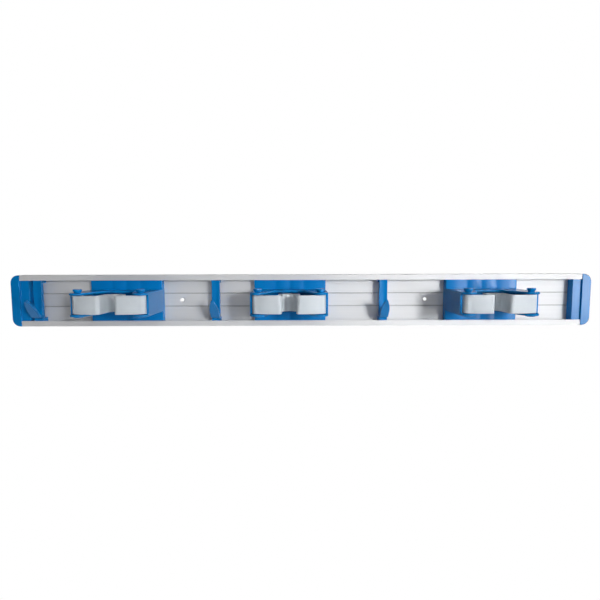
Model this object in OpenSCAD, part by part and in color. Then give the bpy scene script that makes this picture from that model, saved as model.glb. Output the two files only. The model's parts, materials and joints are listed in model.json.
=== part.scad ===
// Wall rail that holds long handles: sliding clip holders and hooks in an aluminium channel.
// The origin is the centre of the rail's back face, +X runs along the rail, +Z is up, the front faces -Y.
// Plan outlines are drawn as [x, depth from the wall], side outlines as [depth from the wall, z].

/* [Rail] */
// Length of the aluminium rail, without the end caps
rail_len = 872; // [868:1:1000]
// Height of the rail
rail_h = 80; // [76:1:90]
// Depth of the rail from the wall to the front of its lips
rail_d = 18; // [16:0.5:24]
// Thickness of the rail's back wall, flanges and lips
rail_wall = 2; // [1.6:0.1:2.6]
// Height of each front lip, from the rail's outer edge
lip_h = 8.5; // [6:0.5:9]
// Distance between the two grooves in the back wall
groove_pitch = 20.5; // [14:0.5:30]
// Width of a groove
groove_w = 1.6; // [0.8:0.1:2.5]
// Depth of a groove
groove_cut = 0.9; // [0.3:0.1:1]

/* [Wall screws] */
// Distance between the two screw holes
screw_pitch = 386; // [370:1:395]
// Sideways shift of the pair of screw holes from the rail's middle
screw_shift = 4; // [0:0.5:8]
// Diameter of a screw hole
screw_d = 5.5; // [4:0.1:6.5]
// Diameter of the countersink at the surface
sink_d = 10; // [8:0.5:12]
// Depth of the countersink
sink_cut = 1.2; // [0.6:0.1:1.3]

/* [End caps] */
// Width of an end cap outside the rail
cap_w = 13.8; // [13:0.1:20]
// Radius of an end cap's outer corners
cap_corner_r = 12; // [4:0.5:12.5]
// How far an end cap's face stands in front of the lips
cap_proud = 0.6; // [0.2:0.1:2]
// Length of the plug inside the channel
plug_w = 13; // [8:0.5:14]

/* [Holder places] */
// Distance from the rail's left end to the middle of the left holder
holder_left_in = 164; // [155:1:175]
// Place of the centre holder, from the rail's middle
holder_centre_x = -17.5; // [-30:0.5:5]
// Distance from the rail's right end to the middle of the right holder
holder_right_in = 155; // [140:1:170]

/* [Holder body] */
// Width across a holder's base and arms
holder_w = 111; // [108:0.5:116]
// Height of a holder's arms over both flanges
holder_h = 34; // [30:0.5:38]
// Thickness of an arm's side wall
arm_wall = 3.2; // [2.5:0.1:4]
// Thickness of the top and bottom flanges
flange_t = 3.4; // [2:0.1:4]
// Thickness of the base's front plate, side walls and ribs
base_wall = 3; // [2:0.1:4]
// Width of each of the two middle panels on the base's front
panel_w = 22.5; // [18:0.5:26]
// Rise of the crown on each panel of the base's front
panel_crown = 1.2; // [0.3:0.1:1.5]
// Depth from the wall to the flanges' edge behind the pocket
rib_front = 38; // [34:0.5:40]
// Half the distance between the rounded inner corners of the flanges
notch_half = 12; // [10:0.5:14]
// Radius of the rounded inner corners of the flanges
notch_r = 10; // [7:0.5:11]

/* [Pivot pins] */
// Depth from the wall to the pins' axes
pin_depth = 79; // [76:0.5:84]
// Diameter of a pin's shaft
pin_d = 5; // [4:0.1:6]
// Diameter of a pin's head
pin_head_d = 12; // [10.5:0.5:14]
// Thickness of the disc on top of a pin
pin_disc_h = 3.4; // [2:0.1:4]
// Height of a pin's head above the flange, with its neck
pin_head_h = 5.1; // [4.2:0.1:6]
// Diameter of the neck under a pin's head
pin_neck_d = 9.5; // [7:0.1:10]
// Radius of the rounded flange ends around the pins
boss_r = 11; // [10.5:0.1:12]
// Diameter of the boss under each bottom flange
foot_boss_d = 13; // [10:0.5:16]
// Height of the boss under each bottom flange
foot_boss_h = 1.4; // [1:0.1:4]

/* [Jaws] */
// Width of the slot between the jaws
mouth_w = 20.6; // [18:0.1:22]
// Radius of a jaw's rounded lip
nose_r = 5.5; // [4:0.1:6.5]
// Depth from the wall to the centre of a jaw's lip
nose_depth = 85.5; // [83:0.5:87]
// Depth from the wall to the centre of the slot's round end
pocket_depth = 62.5; // [60:0.5:66]
// Thickness of the rubber band that forms a jaw
jaw_wall = 5.5; // [4:0.1:6.5]
// Thickness of the web between the jaws
web_t = 3.5; // [2:0.1:5]
// Half the angle that the web spans at the slot's round end
web_half_angle = 60; // [50:1:70]

/* [Hook places] */
// Gap between the left hook and the left plug
hook_left_gap = 7.2; // [1:0.1:10]
// Place of the middle hook along the rail
hook_middle_x = -133; // [-145:1:-125]
// Place of the right hook along the rail
hook_right_x = 127.7; // [115:0.1:140]

/* [Hooks] */
// Width of a hook's bar and feet
bar_w = 12.5; // [10:0.5:14]
// Thickness of a hook's upright bar
bar_t = 7; // [6:0.5:12]
// Depth of the shallow groove down the bar's front
bar_dish = 1; // [0.4:0.1:1.5]
// Height of a foot that shows inside the rail's opening
foot_show = 4.5; // [2:0.5:6]
// Length of the tongue along its slope
tongue_len = 34; // [28:0.5:36]
// Slope of the tongue above the horizontal
tongue_slope = 48.5; // [45:0.5:60]
// Thickness of the tongue
tongue_t = 4.5; // [3.5:0.1:5]
// Widest part of the leaf-shaped tongue
tongue_w = 13.2; // [11:0.1:16]
// Height of the pointed part of the tongue
leaf_rise = 18; // [14:0.5:20]
// Swell of each side of the pointed part
leaf_swell = 1; // [0.4:0.1:1.6]
// Radius of the tongue's lower corners
leaf_corner_r = 1.5; // [1:0.5:5]
// Radius inside the bend between the bar and the tongue
root_r = 3; // [2:0.1:4]
// Height of the bend's inside above the rail's middle
root_z = -22; // [-23:0.5:-20]

/* [Clearances] */
// Gap between the channel and what slides in it
slide_gap = 0.3; // [0.1:0.1:0.6]
// Gap between a pressed-in plug and the channel
plug_gap = 0.15; // [0.05:0.05:0.3]
// Gap between the rail's end and an end cap
cap_gap = 0.2; // [0.1:0.1:0.5]
// Radial gap between a pin and its holes
pin_gap = 0.05; // [0.02:0.01:0.1]
// Gap between a jaw and the flanges and arms around it
jaw_gap = 0.5; // [0.3:0.1:0.8]
// Gap between the web's ends and the jaws
web_gap = 0.4; // [0.3:0.1:0.8]

/* [Hidden] */
$fn = 96;
over = 1;
blue = "#0060b0";
grey = "#c4cbcf";
metal = "#b8bcbf";

// Inside of the rail
channel_h = rail_h - 2 * rail_wall;
lip_back = rail_d - rail_wall;
opening_h = rail_h - 2 * lip_h;
screw_x = [screw_shift - screw_pitch / 2, screw_shift + screw_pitch / 2];

// End caps
rail_end = rail_len / 2;
cap_d = rail_d + cap_proud;
plug_h = channel_h - 2 * plug_gap;
plug_back = rail_wall + plug_gap;
plug_front = lip_back - plug_gap;

// What slides in the channel
slide_h = channel_h - 2 * slide_gap;
slide_back = rail_wall + slide_gap;
slide_front = lip_back - slide_gap;

// Holder body
holder_half = holder_w / 2;
panel_edge = slide_front - panel_crown;
arm_root = panel_edge - base_wall / 2;
flange_in = holder_h / 2 - flange_t;
outer_panel_w = holder_half - panel_w;
panels = [
    [-holder_half + outer_panel_w / 2, outer_panel_w],
    [-panel_w / 2, panel_w],
    [panel_w / 2, panel_w],
    [holder_half - outer_panel_w / 2, outer_panel_w]
];
cell_count = 3;
cell_w = (holder_w - (cell_count + 1) * base_wall) / cell_count;
cell_h = slide_h - 2 * base_wall;

// Pins, pocket and jaws, drawn for the left-hand side of a holder
pin_at = [-holder_half + boss_r, pin_depth];
pin_tip = -holder_h / 2 - foot_boss_h;
notch_at = [-notch_half, rib_front + notch_r];
pocket_at = [0, pocket_depth];
pocket_r = mouth_w / 2;
nose_at = [-pocket_r - nose_r, nose_depth];
jaw_end_r = boss_r - arm_wall - jaw_gap / 2;
jaw_h = 2 * (flange_in - jaw_gap);
jaw_outer_r = pocket_r + jaw_wall;
// Small step between a lip's curve and the slot's flat wall
relief = 0.1;

// Hooks
hook_left_x = -rail_end + plug_w + hook_left_gap + bar_w / 2;
bar_front = rail_d;
bar_back = bar_front - bar_t;
foot_h = lip_h - rail_wall - slide_gap + foot_show;
bend_at = [bar_front + root_r, root_z + root_r];
bend_r = root_r + tongue_t;
leaf_tip = bend_at[1] + tongue_len * sin(tongue_slope) - root_r * cos(tongue_slope);
leaf_mid = leaf_tip - leaf_rise;
leaf_under = bend_at[1] - bend_r;
leaf_side = norm([tongue_w / 2, leaf_rise]);
leaf_r = leaf_side * leaf_side / (8 * leaf_swell) + leaf_swell / 2;
leaf_lean = atan2(tongue_w / 2, leaf_rise);
leaf_edge_mid = [tongue_w / 4, leaf_mid + leaf_rise / 2];
leaf_arc_at = polar(leaf_edge_mid, leaf_swell - leaf_r, leaf_lean);

HOLDERS = [
    ["left", holder_left_in - rail_end],
    ["centre", holder_centre_x],
    ["right", rail_end - holder_right_in]
];
HOOKS = [["hook_left", hook_left_x], ["hook_middle", hook_middle_x], ["hook_right", hook_right_x]];
HOLDER_PIECES = ["holder_body", "jaw_left", "jaw_right", "pin_left", "pin_right", "web"];

// A point at a distance and an angle from a centre
function polar(c, r, a) = [c[0] + r * cos(a), c[1] + r * sin(a)];
// The direction from one point to another
function heading(p, q) = atan2(q[1] - p[1], q[0] - p[0]);
// The angle from the line of centres to where an outer tangent touches two circles
function outer_angle(p, r1, q, r2) = acos((r1 - r2) / norm(q - p));
// The same for a tangent that crosses between the circles
function cross_angle(p, r1, q, r2) = acos((r1 + r2) / norm(q - p));

// Raises a plan outline from z0 by h
module plan(z0, h) {
    translate([0, 0, z0]) linear_extrude(h) mirror([0, 1, 0]) children();
}

// Runs a side outline along X, centred
module side(w) {
    rotate([90, 0, -90]) linear_extrude(w, center = true) children();
}

// Pushes a front outline from the wall towards the front
module front(d0, d1) {
    translate([0, -d0, 0]) rotate([90, 0, 0]) linear_extrude(d1 - d0) children();
}

// A block between two depths, centred on X
module block(w, d0, d1, z0, z1) {
    translate([-w / 2, -d1, z0]) cube([w, d1 - d0, z1 - z0]);
}

// The same shape on the left and, mirrored, on the right
module both() {
    children();
    mirror([1, 0, 0]) children();
}

// Rail
module rail_section() {
    difference() {
        translate([0, -rail_h / 2]) square([rail_d, rail_h]);
        translate([rail_wall, -channel_h / 2]) square([lip_back - rail_wall, channel_h]);
        translate([rail_wall, -opening_h / 2]) square([rail_d, opening_h]);
        for (s = [-1, 1])
            translate([rail_wall - groove_cut, s * groove_pitch / 2 - groove_w / 2])
                square([rail_wall, groove_w]);
    }
}

module screw_hole() {
    translate([0, over, 0]) rotate([90, 0, 0]) cylinder(d = screw_d, h = rail_wall + 2 * over);
    translate([0, sink_cut - rail_wall, 0]) rotate([90, 0, 0])
        cylinder(d1 = screw_d, d2 = sink_d, h = sink_cut);
}

module rail() {
    color(metal) difference() {
        side(rail_len) rail_section();
        for (x = screw_x) translate([x, 0, 0]) screw_hole();
    }
}

// End caps
module cap_outline() {
    straight = cap_w - cap_corner_r;
    corner_z = rail_h / 2 - cap_corner_r;
    intersection() {
        union() {
            translate([0, -rail_h / 2]) square([straight, rail_h]);
            translate([0, -corner_z]) square([cap_w, 2 * corner_z]);
            for (s = [-1, 1]) translate([straight, s * corner_z]) circle(r = cap_corner_r);
        }
        translate([0, -rail_h]) square([2 * cap_w, 2 * rail_h]);
    }
}

module end_cap_right() {
    color(blue) union() {
        translate([rail_end + cap_gap, 0, 0]) front(0, cap_d) cap_outline();
        translate([rail_end + (over - plug_w) / 2, 0, 0])
            block(plug_w + over, plug_back, plug_front, -plug_h / 2, plug_h / 2);
    }
}

module end_cap_left() {
    mirror([1, 0, 0]) end_cap_right();
}

// Holder body
module base_panel(w) {
    r = w * w / (8 * panel_crown) + panel_crown / 2;
    intersection() {
        translate([-w / 2 - over, slide_back]) square([w + 2 * over, slide_front]);
        translate([0, slide_front - r]) circle(r = r);
    }
}

module base_outline() {
    intersection() {
        translate([-holder_half, slide_back]) square([holder_w, slide_front]);
        for (p = panels) translate([p[0], 0]) base_panel(p[1]);
    }
}

module base() {
    difference() {
        plan(-slide_h / 2, slide_h) base_outline();
        for (i = [0 : cell_count - 1])
            translate([(i - (cell_count - 1) / 2) * (cell_w + base_wall), 0, 0])
                block(cell_w, slide_back - over, panel_edge - base_wall, -cell_h / 2, cell_h / 2);
    }
}

module flange_outline() {
    a = heading(pin_at, notch_at) + cross_angle(pin_at, boss_r, notch_at, notch_r);
    boss_touch = polar(pin_at, boss_r, a);
    notch_touch = polar(notch_at, -notch_r, a);
    difference() {
        polygon([
            [-holder_half, arm_root], [-holder_half, pin_depth], pin_at, boss_touch,
            notch_touch, notch_at, [0, notch_at[1]], [0, arm_root]
        ]);
        translate(notch_at) circle(r = notch_r);
        translate([-notch_half, rib_front]) square([notch_half + over, notch_r + over]);
    }
    translate(pin_at) circle(r = boss_r);
}

module holder_body() {
    color(blue) difference() {
        union() {
            base();
            both() {
                translate([arm_wall / 2 - holder_half, 0, 0])
                    block(arm_wall, arm_root, pin_depth, -holder_h / 2, holder_h / 2);
                plan(flange_in, flange_t) flange_outline();
                plan(-holder_h / 2, flange_t) flange_outline();
                translate([pin_at[0], -pin_depth, pin_tip])
                    cylinder(d = foot_boss_d, h = foot_boss_h + flange_t / 2);
            }
        }
        both() translate([pin_at[0], -pin_depth, pin_tip - over])
            cylinder(r = pin_d / 2 + pin_gap, h = holder_h + foot_boss_h + 2 * over);
    }
}

// Pivot pins
module pin() {
    color(blue) translate([pin_at[0], -pin_depth, 0]) {
        translate([0, 0, pin_tip]) cylinder(d = pin_d, h = holder_h / 2 - pin_tip + over);
        translate([0, 0, holder_h / 2]) cylinder(d = pin_neck_d, h = pin_head_h);
        translate([0, 0, holder_h / 2 + pin_head_h - pin_disc_h]) cylinder(d = pin_head_d, h = pin_disc_h);
    }
}

// Jaws and web
module pocket_ring(r, a0, a1) {
    steps = 3;
    intersection() {
        translate(pocket_at) circle(r = r);
        polygon(concat(
            [pocket_at],
            [for (i = [0 : steps]) polar(pocket_at, 2 * r, a0 + (a1 - a0) * i / steps)]
        ));
    }
}

module upright(at, r, h) {
    translate([at[0], -at[1], -h / 2]) cylinder(r = r, h = h);
}

module jaw() {
    a = heading(pin_at, nose_at) + outer_angle(pin_at, jaw_end_r, nose_at, nose_r);
    color(grey) difference() {
        union() {
            upright(pin_at, jaw_end_r, jaw_h);
            upright(nose_at, nose_r, jaw_h);
            plan(-jaw_h / 2, jaw_h) polygon([
                polar(pin_at, jaw_end_r, a), polar(nose_at, nose_r, a),
                polar(nose_at, nose_r - jaw_wall, a), polar(pin_at, jaw_end_r - jaw_wall, a)
            ]);
            plan(-jaw_h / 2, jaw_h) translate([-jaw_outer_r, pocket_depth - over])
                square([jaw_wall - relief, nose_depth - pocket_depth + over]);
            plan(-jaw_h / 2, jaw_h) pocket_ring(jaw_outer_r, 180, 270 - web_half_angle);
        }
        upright(pocket_at, pocket_r, jaw_h + 2 * over);
        upright(pin_at, pin_d / 2 + pin_gap, jaw_h + 2 * over);
    }
}

module web() {
    gap_angle = web_gap / pocket_r * 180 / PI;
    color(grey) difference() {
        plan(-jaw_h / 2, jaw_h)
            pocket_ring(pocket_r + web_t, 270 - web_half_angle + gap_angle, 270 + web_half_angle - gap_angle);
        upright(pocket_at, pocket_r, jaw_h + 2 * over);
    }
}

// Hooks
module bar_outline() {
    polygon([
        [-bar_w / 2, bar_back], [-bar_w / 2, bar_front], [0, bar_front - bar_dish],
        [bar_w / 2, bar_front], [bar_w / 2, bar_back]
    ]);
}

module tongue_side() {
    down = tongue_slope - 90;
    inside = polar(bend_at, root_r, down);
    outside = polar(bend_at, bend_r, down);
    polygon([
        inside, outside, polar(outside, tongue_len, tongue_slope), polar(inside, tongue_len, tongue_slope)
    ]);
    difference() {
        translate(bend_at) circle(r = bend_r);
        translate(bend_at) circle(r = root_r);
        polygon([
            bend_at, inside, polar(inside, tongue_len, tongue_slope),
            [bar_front, leaf_tip + over], [bar_front, bend_at[1]]
        ]);
    }
}

module leaf_front() {
    corner_z = leaf_under + leaf_corner_r;
    corner_x = tongue_w / 2 - leaf_corner_r;
    intersection() {
        translate(leaf_arc_at) circle(r = leaf_r);
        mirror([1, 0]) translate(leaf_arc_at) circle(r = leaf_r);
        translate([-tongue_w, leaf_mid]) square([2 * tongue_w, leaf_rise + over]);
    }
    translate([-tongue_w / 2, corner_z]) square([tongue_w, leaf_mid - corner_z]);
    translate([-corner_x, leaf_under]) square([2 * corner_x, leaf_corner_r + over]);
    for (s = [-1, 1]) translate([s * corner_x, corner_z]) circle(r = leaf_corner_r);
}

module hook() {
    color(blue) union() {
        plan(-opening_h / 2, opening_h) bar_outline();
        for (s = [-1, 1])
            translate([0, 0, s * (slide_h - foot_h) / 2])
                block(bar_w, slide_back, slide_front, -foot_h / 2, foot_h / 2);
        intersection() {
            side(tongue_w + over) tongue_side();
            front(bar_back, bar_front + tongue_len + bend_r) leaf_front();
        }
    }
}

rail();
end_cap_left();
end_cap_right();
for (h = HOLDERS) translate([h[1], 0, 0]) {
    holder_body();
    jaw();
    mirror([1, 0, 0]) jaw();
    pin();
    mirror([1, 0, 0]) pin();
    web();
}
for (k = HOOKS) translate([k[1], 0, 0]) {
    hook();
}
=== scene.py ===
import json
import math

import bmesh
import bpy
from mathutils import Euler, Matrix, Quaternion, Vector


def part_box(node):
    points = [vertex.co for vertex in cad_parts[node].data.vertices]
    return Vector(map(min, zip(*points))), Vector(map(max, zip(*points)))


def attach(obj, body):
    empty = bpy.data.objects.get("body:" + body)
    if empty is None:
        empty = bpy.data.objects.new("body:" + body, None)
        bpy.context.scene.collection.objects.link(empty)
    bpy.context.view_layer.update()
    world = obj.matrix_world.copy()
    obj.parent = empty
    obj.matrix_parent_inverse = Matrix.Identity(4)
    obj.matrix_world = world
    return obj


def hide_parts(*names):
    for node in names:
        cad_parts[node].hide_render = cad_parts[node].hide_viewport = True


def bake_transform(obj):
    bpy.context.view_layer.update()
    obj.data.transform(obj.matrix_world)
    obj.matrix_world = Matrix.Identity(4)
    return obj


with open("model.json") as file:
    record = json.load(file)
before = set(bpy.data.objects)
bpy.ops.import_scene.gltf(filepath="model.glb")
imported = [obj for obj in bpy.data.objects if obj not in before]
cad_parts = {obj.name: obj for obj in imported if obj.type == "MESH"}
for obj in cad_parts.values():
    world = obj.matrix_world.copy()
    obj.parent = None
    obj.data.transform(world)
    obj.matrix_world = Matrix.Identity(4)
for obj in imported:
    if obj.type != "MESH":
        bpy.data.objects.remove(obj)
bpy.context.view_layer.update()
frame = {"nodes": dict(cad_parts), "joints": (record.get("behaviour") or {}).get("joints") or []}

MM = 0.001

# Sizes of the rubber insert, repeated from the part's source
POCKET_R = 10.3 * MM
POCKET_DEPTH = 62.5 * MM
JAW_WALL = 5.5 * MM
JAW_END_R = 7.55 * MM
NOSE_R = 5.5 * MM
NOSE_DEPTH = 85.5 * MM
PIN_BORE_R = 2.55 * MM
WEB_T = 3.5 * MM
WEB_HALF_ANGLE = 60

# How the rubber is finished
RUBBER_ROUND = 0.6 * MM
ROUND_STEPS = 4
ARC_STEP = 3
TAIL_R = 2 * MM
KNEE_R = 3 * MM
FRONT_SWELL = 1.2 * MM
SWELL_STEPS = 8
WEB_TUCK_ANGLE = 6
WEB_LAP = 0.1 * MM
SHARP_ANGLE = 35

# Rounding of the moulded and extruded edges
RAIL_ROUND = 0.2 * MM
CAP_ROUND = 0.7 * MM
HOOK_ROUND = 0.5 * MM
BODY_ROUND = 1.0 * MM
PIN_ROUND = 0.7 * MM
EDGE_ANGLE = 40
BEVEL_STEPS = 3
FLAT_ANGLE = 0.5
WELD_REACH = 0.005 * MM

# Camera, fitted to the photograph
CAMERA_AT = Vector((-3.2, -701.8, 62.5)) * MM
CAMERA_PITCH = 5.19
CAMERA_YAW = 0.11
CAMERA_ROLL = 0.153
LENS_MM = 26.48
SENSOR_MM = 36

# Light and stage, in metres, watts and degrees; the key is a narrow lamp that fades to the left
KEY_AT = (1.45, -2.54, 0.42)
KEY_SIZE = 0.5
KEY_POWER = 2.65
KEY_AIM = (0.08, 0.0, 0.0)
KEY_SPREAD = 40
SIDE_AT = (1.25, -1.26, -0.08)
SIDE_SIZE = 0.25
SIDE_POWER = 5
FILL_AT = (0.0, -1.4, 0.85)
FILL_SIZE = 0.8
FILL_POWER = 3
SKY_DARK = 0.03
SKY_LIGHT = 0.3
SKY_FROM = -0.4
SKY_TO = 0.4
FULL_SPREAD = 180
FLOOR_Z = -1.0
BACKDROP_Y = 1.3
STAGE_HALF = 5
STAGE_ROUGHNESS = 0.9

# Colours, linear
BLUE = (0.0, 0.21, 0.58, 1)
BLUE_DEEP = (0.0, 0.19, 0.53, 1)
METAL = (0.74, 0.745, 0.755, 1)
METAL_DARK = (0.715, 0.72, 0.73, 1)
RUBBER = (0.64, 0.695, 0.74, 1)
RUBBER_DARK = (0.59, 0.64, 0.69, 1)
PALE = (0.86, 0.86, 0.86, 1)
WHITE = (1, 1, 1, 1)
TINT_FROM = 0.3
TINT_TO = 0.7

# Aluminium: streaks and bands run along the rail; shade is painted into the colour in grooves and inner
# corners
METAL_SHARE = 0.4
METAL_STRETCHED_SHEEN = 0.5
METAL_ROUGHNESS = (0.6, 0.7)
STREAK_SCALE = 900
STREAK_STRETCH = (0.004, 1, 1)
STREAK_DETAIL = 6
STREAK_HEIGHT = 0.006 * MM
BAND_SCALE = 300
BAND_STRETCH = (0.006, 1, 1)
BAND_DETAIL = 3
# How far the shade painted into the aluminium's colour reaches from grooves and inner corners
PAINTED_SHADE_REACH = 2 * MM

# Plastic: faint clouds of colour and a fine grain
PLASTIC_IOR = 1.49
PLASTIC_SPECULAR = 0.25
PLASTIC_ROUGHNESS = (0.19, 0.25)
PLASTIC_CLOUD_SCALE = 35
PLASTIC_CLOUD_DETAIL = 3
PLASTIC_GRAIN_SCALE = 1400
PLASTIC_GRAIN_DETAIL = 2
PLASTIC_GRAIN_HEIGHT = 0.01 * MM

# Rubber: faint clouds of colour and a coarser grain
RUBBER_SPECULAR = 0.35
RUBBER_ROUGHNESS = (0.4, 0.52)
RUBBER_CLOUD_SCALE = 50
RUBBER_CLOUD_DETAIL = 4
RUBBER_GRAIN_SCALE = 1800
RUBBER_GRAIN_DETAIL = 3
RUBBER_GRAIN_HEIGHT = 0.04 * MM

HOLDERS = ("left", "centre", "right")
HOOKS = ("hook_left", "hook_middle", "hook_right")


# Node materials
def new_material(name):
    material = bpy.data.materials.new(name)
    material.use_nodes = True
    return material, material.node_tree.nodes, material.node_tree.links


def noise(nodes, links, scale, detail, stretch=(1, 1, 1)):
    """A noise texture in object space, with its space stretched along an axis."""
    place = nodes.new("ShaderNodeTexCoord")
    mapping = nodes.new("ShaderNodeMapping")
    mapping.inputs["Scale"].default_value = stretch
    texture = nodes.new("ShaderNodeTexNoise")
    texture.inputs["Scale"].default_value = scale
    texture.inputs["Detail"].default_value = detail
    links.new(place.outputs["Object"], mapping.inputs["Vector"])
    links.new(mapping.outputs["Vector"], texture.inputs["Vector"])
    return texture.outputs["Fac"]


def vary_colour(nodes, links, shader, factor, low, high):
    """Sets a colour that drifts between two others, and gives back its socket."""
    ramp = nodes.new("ShaderNodeValToRGB")
    ramp.color_ramp.elements[0].position = TINT_FROM
    ramp.color_ramp.elements[0].color = low
    ramp.color_ramp.elements[1].position = TINT_TO
    ramp.color_ramp.elements[1].color = high
    links.new(factor, ramp.inputs["Fac"])
    links.new(ramp.outputs["Color"], shader.inputs["Base Color"])
    return ramp.outputs["Color"]


def paint_corner_shade(nodes, links, shader, tint):
    """Paints shade into a colour in the piece's own grooves and inner corners."""
    painted_shade = nodes.new("ShaderNodeAmbientOcclusion")
    painted_shade.only_local = True
    painted_shade.inputs["Distance"].default_value = PAINTED_SHADE_REACH
    links.new(tint, painted_shade.inputs["Color"])
    links.new(painted_shade.outputs["Color"], shader.inputs["Base Color"])


def vary_roughness(nodes, links, shader, factor, limits):
    spread = nodes.new("ShaderNodeMapRange")
    spread.inputs["To Min"].default_value = limits[0]
    spread.inputs["To Max"].default_value = limits[1]
    links.new(factor, spread.inputs["Value"])
    links.new(spread.outputs["Result"], shader.inputs["Roughness"])


def add_bump(nodes, links, shader, factor, height):
    bump = nodes.new("ShaderNodeBump")
    bump.inputs["Strength"].default_value = 1
    bump.inputs["Distance"].default_value = height
    links.new(factor, bump.inputs["Height"])
    links.new(bump.outputs["Normal"], shader.inputs["Normal"])


def make_aluminium():
    material, nodes, links = new_material("anodised_aluminium")
    shader = nodes["Principled BSDF"]
    shader.inputs["Metallic"].default_value = METAL_SHARE
    shader.inputs["Anisotropic"].default_value = METAL_STRETCHED_SHEEN
    across = nodes.new("ShaderNodeTangent")
    across.direction_type = "RADIAL"
    across.axis = "X"
    links.new(across.outputs["Tangent"], shader.inputs["Tangent"])
    streaks = noise(nodes, links, STREAK_SCALE, STREAK_DETAIL, STREAK_STRETCH)
    bands = noise(nodes, links, BAND_SCALE, BAND_DETAIL, BAND_STRETCH)
    tint = vary_colour(nodes, links, shader, bands, METAL_DARK, METAL)
    # Painted shade: ambient occlusion darkens the base colour in grooves and inner corners
    paint_corner_shade(nodes, links, shader, tint)
    vary_roughness(nodes, links, shader, streaks, METAL_ROUGHNESS)
    add_bump(nodes, links, shader, streaks, STREAK_HEIGHT)
    return material


def make_plastic():
    material, nodes, links = new_material("moulded_blue_plastic")
    shader = nodes["Principled BSDF"]
    shader.inputs["IOR"].default_value = PLASTIC_IOR
    shader.inputs["Specular IOR Level"].default_value = PLASTIC_SPECULAR
    cloud = noise(nodes, links, PLASTIC_CLOUD_SCALE, PLASTIC_CLOUD_DETAIL)
    grain = noise(nodes, links, PLASTIC_GRAIN_SCALE, PLASTIC_GRAIN_DETAIL)
    vary_colour(nodes, links, shader, cloud, BLUE_DEEP, BLUE)
    vary_roughness(nodes, links, shader, cloud, PLASTIC_ROUGHNESS)
    add_bump(nodes, links, shader, grain, PLASTIC_GRAIN_HEIGHT)
    return material


def make_rubber():
    material, nodes, links = new_material("grey_rubber")
    shader = nodes["Principled BSDF"]
    shader.inputs["Specular IOR Level"].default_value = RUBBER_SPECULAR
    cloud = noise(nodes, links, RUBBER_CLOUD_SCALE, RUBBER_CLOUD_DETAIL)
    grain = noise(nodes, links, RUBBER_GRAIN_SCALE, RUBBER_GRAIN_DETAIL)
    vary_colour(nodes, links, shader, cloud, RUBBER_DARK, RUBBER)
    vary_roughness(nodes, links, shader, cloud, RUBBER_ROUGHNESS)
    add_bump(nodes, links, shader, grain, RUBBER_GRAIN_HEIGHT)
    return material


# Rounded edges on the solids
def make_shading_group():
    """Smooth faces with sharp edges only where the angle is large."""
    group = bpy.data.node_groups.new("shade_by_angle", "GeometryNodeTree")
    group.interface.new_socket("Geometry", in_out="INPUT", socket_type="NodeSocketGeometry")
    group.interface.new_socket("Geometry", in_out="OUTPUT", socket_type="NodeSocketGeometry")
    start = group.nodes.new("NodeGroupInput")
    end = group.nodes.new("NodeGroupOutput")
    clear = group.nodes.new("GeometryNodeRemoveAttribute")
    clear.inputs["Name"].default_value = "custom_normal"
    faces = group.nodes.new("GeometryNodeSetShadeSmooth")
    faces.domain = "FACE"
    edges = group.nodes.new("GeometryNodeSetShadeSmooth")
    edges.domain = "EDGE"
    edges.inputs["Shade Smooth"].default_value = False
    angle = group.nodes.new("GeometryNodeInputMeshEdgeAngle")
    sharp = group.nodes.new("FunctionNodeCompare")
    sharp.operation = "GREATER_THAN"
    sharp.inputs["B"].default_value = math.radians(EDGE_ANGLE)
    group.links.new(start.outputs[0], clear.inputs["Geometry"])
    group.links.new(clear.outputs["Geometry"], faces.inputs["Geometry"])
    group.links.new(faces.outputs["Geometry"], edges.inputs["Geometry"])
    group.links.new(angle.outputs["Unsigned Angle"], sharp.inputs["A"])
    group.links.new(sharp.outputs["Result"], edges.inputs["Selection"])
    group.links.new(edges.outputs["Geometry"], end.inputs[0])
    return group


def round_edges(node, width, material, group):
    obj = frame["nodes"][node]
    obj.data.materials.clear()
    obj.data.materials.append(material)
    weld = obj.modifiers.new("weld", "WELD")
    weld.merge_threshold = WELD_REACH
    flat = obj.modifiers.new("flat_faces", "DECIMATE")
    flat.decimate_type = "DISSOLVE"
    flat.angle_limit = math.radians(FLAT_ANGLE)
    bevel = obj.modifiers.new("round_edges", "BEVEL")
    bevel.width = width
    bevel.segments = BEVEL_STEPS
    bevel.limit_method = "ANGLE"
    bevel.angle_limit = math.radians(EDGE_ANGLE)
    bevel.use_clamp_overlap = False
    shade = obj.modifiers.new("shade", "NODES")
    shade.node_group = group
    obj.modifiers.new("face_normals", "WEIGHTED_NORMAL").keep_sharp = True


# Plan outlines of the rubber, as (x, depth) from the holder's middle
def polar(centre, r, degrees):
    a = math.radians(degrees)
    return Vector((centre[0] + r * math.cos(a), centre[1] + r * math.sin(a)))


def heading(p, q):
    return math.degrees(math.atan2(q[1] - p[1], q[0] - p[0]))


def acos_degrees(ratio):
    return math.degrees(math.acos(ratio))


def arc(centre, r, start, stop):
    count = max(2, math.ceil(abs(stop - start) / ARC_STEP))
    return [polar(centre, r, start + (stop - start) * i / count) for i in range(count + 1)]


def swell(p, q, rise):
    """Points between two others, on a curve that stands out by a rise to the right of their line."""
    run = q - p
    out = Vector((run.y, -run.x)).normalized()
    points = []
    for i in range(1, SWELL_STEPS):
        t = i / SWELL_STEPS
        points.append(p + run * t + out * (4 * rise * t * (1 - t)))
    return points


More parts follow.
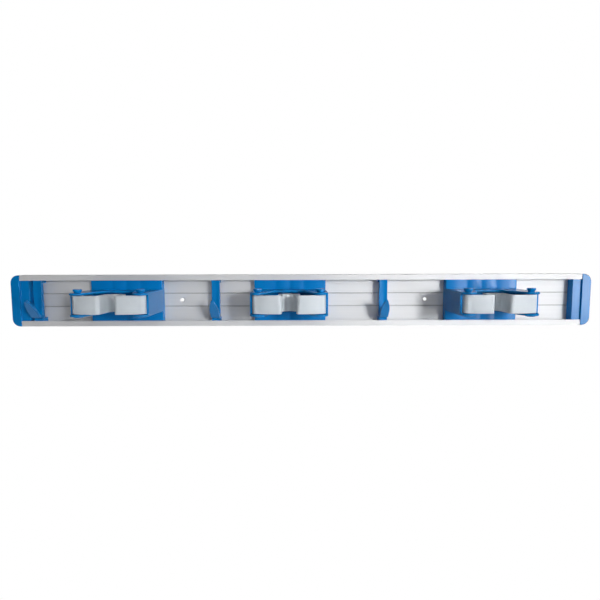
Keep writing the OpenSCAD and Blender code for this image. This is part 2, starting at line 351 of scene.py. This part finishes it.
def jaw_outline(pin):
    """The left jaw, a band: lip, front, loop round the pin, back of the front, wall, tail, slot."""
    pocket = Vector((0, POCKET_DEPTH))
    nose = Vector((-POCKET_R - NOSE_R, NOSE_DEPTH))
    outer_r = POCKET_R + JAW_WALL
    front = heading(pin, nose) + acos_degrees((JAW_END_R - NOSE_R) / (nose - pin).length)
    loop_end = front + 360 - acos_degrees((JAW_END_R - JAW_WALL) / JAW_END_R)
    lean = math.radians(front)
    knee_x = -outer_r - KNEE_R
    inside = NOSE_R - JAW_WALL - KNEE_R - (knee_x - nose.x) * math.cos(lean)
    knee = Vector((knee_x, nose.y + inside / math.sin(lean)))
    last = 270 - WEB_HALF_ANGLE
    tail_start = last - math.degrees(TAIL_R / outer_r)
    points = arc(nose, NOSE_R, 0, front)
    points += swell(points[-1], polar(pin, JAW_END_R, front), FRONT_SWELL)
    points += arc(pin, JAW_END_R, front, loop_end)
    points += arc(knee, KNEE_R, front, 0)
    points += arc(pocket, outer_r, 180, tail_start)
    points += arc(polar(pocket, outer_r - TAIL_R, tail_start), TAIL_R, tail_start, last + 90)[1:]
    points += arc(pocket, POCKET_R, last, 180)
    return points


def web_outline():
    """The left half of the web, from the middle to where it runs into the jaw."""
    pocket = Vector((0, POCKET_DEPTH))
    start = 270 - WEB_HALF_ANGLE - WEB_TUCK_ANGLE
    points = arc(pocket, POCKET_R + WEB_LAP, 270, start)
    points += arc(pocket, POCKET_R + WEB_T, start, 270)
    return points


def stack(bm, outline, height, rounding):
    """Rings of the outline from bottom to top, drawn in where the edges round over."""
    count = len(outline)
    normals = []
    for i in range(count):
        run = outline[(i + 1) % count] - outline[i - 1]
        normals.append(Vector((run.y, -run.x)).normalized())
    levels = []
    for k in range(ROUND_STEPS + 1):
        a = math.radians(90 * k / ROUND_STEPS)
        levels.append((rounding * (1 - math.cos(a)), height / 2 - rounding * (1 - math.sin(a))))
    levels = [(inset, -z) for inset, z in levels[::-1]] + levels
    rings = []
    for inset, z in levels:
        inner = [p - n * inset for p, n in zip(outline, normals)]
        rings.append([bm.verts.new((q.x, -q.y, z)) for q in inner])
    return rings


def skin(bm, rings):
    for low, high in zip(rings, rings[1:]):
        for i in range(len(low)):
            bm.faces.new((low[i - 1], low[i], high[i], high[i - 1]))


def loop_edges(bm, ring):
    """The edges round a ring, made where they don't exist yet."""
    edges = []
    for i in range(len(ring)):
        ends = (ring[i - 1], ring[i])
        edges.append(bm.edges.get(ends) or bm.edges.new(ends))
    return edges


def finish_piece(bm, name, side, x, material):
    """Mirrors the left-hand form for the right, sets it at the holder and makes the object."""
    for v in bm.verts:
        v.co.x = x + side * v.co.x
    bmesh.ops.recalc_face_normals(bm, faces=bm.faces)
    mesh = bpy.data.meshes.new(name)
    bm.to_mesh(mesh)
    bm.free()
    mesh.shade_smooth()
    mesh.set_sharp_from_angle(angle=math.radians(SHARP_ANGLE))
    mesh.materials.append(material)
    obj = bpy.data.objects.new(name, mesh)
    bpy.context.scene.collection.objects.link(obj)
    return obj


def make_jaw(name, pin, side, x, height, material):
    bm = bmesh.new()
    rings = stack(bm, jaw_outline(pin), height, RUBBER_ROUND)
    skin(bm, rings)
    bore = []
    for z in (-height / 2, height / 2):
        circle = arc(pin, PIN_BORE_R, 0, 360)[:-1]
        bore.append([bm.verts.new((p.x, -p.y, z)) for p in circle])
    skin(bm, bore)
    for ring, hole in ((rings[0], bore[0]), (rings[-1], bore[1])):
        edges = loop_edges(bm, ring) + loop_edges(bm, hole)
        bmesh.ops.triangle_fill(bm, edges=edges, use_beauty=True)
    return finish_piece(bm, name, side, x, material)


def make_web_half(name, side, x, height, material):
    bm = bmesh.new()
    rings = stack(bm, web_outline(), height, RUBBER_ROUND)
    skin(bm, rings)
    for ring in (rings[0], rings[-1]):
        bm.faces.new(ring)
    return finish_piece(bm, name, side, x, material)


def dress_holder(holder, rubber):
    low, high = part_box(f"{holder}_holder_body")
    x = (low[0] + high[0]) / 2
    jaw_low, jaw_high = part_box(f"{holder}_jaw_left")
    height = jaw_high[2] - jaw_low[2]
    for side, word in ((1, "left"), (-1, "right")):
        body = f"{holder}_{word}_jaw"
        swing = next(j for j in frame["joints"] if j["child"] == body)
        pin = Vector((side * (swing["pos_m"][0] - x), -swing["pos_m"][1]))
        jaw = make_jaw(f"{holder}_rubber_jaw_{word}", pin, side, x, height, rubber)
        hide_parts(f"{holder}_jaw_{word}")
        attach(jaw, body)
        half = make_web_half(f"{holder}_rubber_web_{word}", side, x, height - 2 * WEB_LAP, rubber)
        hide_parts(f"{holder}_web")
        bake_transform(half)


# Stage, light and camera
def seen_directly(nodes, links):
    """1 for rays from the camera, a reflection or through glass, 0 for light that falls on the object."""
    path = nodes.new("ShaderNodeLightPath")
    total = nodes.new("ShaderNodeMath")
    total.operation = "ADD"
    total.use_clamp = True
    both = nodes.new("ShaderNodeMath")
    both.operation = "ADD"
    both.use_clamp = True
    links.new(path.outputs["Is Camera Ray"], total.inputs[0])
    links.new(path.outputs["Is Glossy Ray"], total.inputs[1])
    links.new(total.outputs["Value"], both.inputs[0])
    links.new(path.outputs["Is Transmission Ray"], both.inputs[1])
    return both.outputs["Value"]


def make_stage_material():
    material, nodes, links = new_material("pale_stage")
    shader = nodes["Principled BSDF"]
    shader.inputs["Roughness"].default_value = STAGE_ROUGHNESS
    shader.inputs["Base Color"].default_value = PALE
    glow = nodes.new("ShaderNodeEmission")
    glow.inputs["Color"].default_value = WHITE
    mix = nodes.new("ShaderNodeMixShader")
    links.new(seen_directly(nodes, links), mix.inputs["Fac"])
    links.new(shader.outputs["BSDF"], mix.inputs[1])
    links.new(glow.outputs["Emission"], mix.inputs[2])
    links.new(mix.outputs["Shader"], nodes["Material Output"].inputs["Surface"])
    return material


def make_stage_plane(name, painted_shade, material):
    mesh = bpy.data.meshes.new(name)
    mesh.from_pydata(painted_shade, [], [(0, 1, 2, 3)])
    mesh.materials.append(material)
    plane = bpy.data.objects.new(name, mesh)
    bpy.context.scene.collection.objects.link(plane)


def make_stage():
    material = make_stage_material()
    h = STAGE_HALF
    make_stage_plane(
        "floor",
        [(-h, -h, FLOOR_Z), (h, -h, FLOOR_Z), (h, BACKDROP_Y, FLOOR_Z), (-h, BACKDROP_Y, FLOOR_Z)],
        material,
    )
    make_stage_plane(
        "backdrop",
        [(-h, BACKDROP_Y, FLOOR_Z), (h, BACKDROP_Y, FLOOR_Z), (h, BACKDROP_Y, h), (-h, BACKDROP_Y, h)],
        material,
    )


def make_world():
    """A soft room that is brighter on the right."""
    world = bpy.data.worlds.new("studio")
    world.use_nodes = True
    nodes, links = world.node_tree.nodes, world.node_tree.links
    background = nodes["Background"]
    place = nodes.new("ShaderNodeTexCoord")
    split = nodes.new("ShaderNodeSeparateXYZ")
    slope = nodes.new("ShaderNodeMapRange")
    slope.interpolation_type = "SMOOTHSTEP"
    slope.inputs["From Min"].default_value = SKY_FROM
    slope.inputs["From Max"].default_value = SKY_TO
    slope.inputs["To Min"].default_value = SKY_DARK
    slope.inputs["To Max"].default_value = SKY_LIGHT
    links.new(place.outputs["Generated"], split.inputs["Vector"])
    links.new(split.outputs["X"], slope.inputs["Value"])
    links.new(slope.outputs["Result"], background.inputs["Strength"])
    background.inputs["Color"].default_value = WHITE
    bpy.context.scene.world = world


def make_lamp(name, at, size, power, aim=(0, 0, 0), spread=FULL_SPREAD):
    data = bpy.data.lights.new(name, "AREA")
    data.size = size
    data.energy = power
    data.spread = math.radians(spread)
    lamp = bpy.data.objects.new(name, data)
    lamp.location = at
    lamp.rotation_mode = "QUATERNION"
    lamp.rotation_quaternion = (Vector(aim) - Vector(at)).to_track_quat("-Z", "Y")
    bpy.context.scene.collection.objects.link(lamp)


def make_camera():
    data = bpy.data.cameras.new("photo_camera")
    data.lens = LENS_MM
    data.sensor_width = SENSOR_MM
    camera = bpy.data.objects.new("photo_camera", data)
    camera.location = CAMERA_AT
    camera.rotation_mode = "QUATERNION"
    aim = Euler((math.radians(90 - CAMERA_PITCH), 0, -math.radians(CAMERA_YAW))).to_quaternion()
    camera.rotation_quaternion = aim @ Quaternion((0, 0, 1), -math.radians(CAMERA_ROLL))
    bpy.context.scene.collection.objects.link(camera)
    bpy.context.scene.camera = camera


aluminium = make_aluminium()
plastic = make_plastic()
rubber = make_rubber()
shading = make_shading_group()

round_edges("rail", RAIL_ROUND, aluminium, shading)
for cap in ("end_cap_left", "end_cap_right"):
    round_edges(cap, CAP_ROUND, plastic, shading)
for hook in HOOKS:
    round_edges(hook, HOOK_ROUND, plastic, shading)
for holder in HOLDERS:
    round_edges(f"{holder}_holder_body", BODY_ROUND, plastic, shading)
    for pin in ("pin_left", "pin_right"):
        round_edges(f"{holder}_{pin}", PIN_ROUND, plastic, shading)
    dress_holder(holder, rubber)

make_camera()
make_world()
make_stage()
make_lamp("key", KEY_AT, KEY_SIZE, KEY_POWER, KEY_AIM, KEY_SPREAD)
make_lamp("side", SIDE_AT, SIDE_SIZE, SIDE_POWER)
make_lamp("fill", FILL_AT, FILL_SIZE, FILL_POWER)
bpy.context.scene.view_settings.view_transform = "Standard"
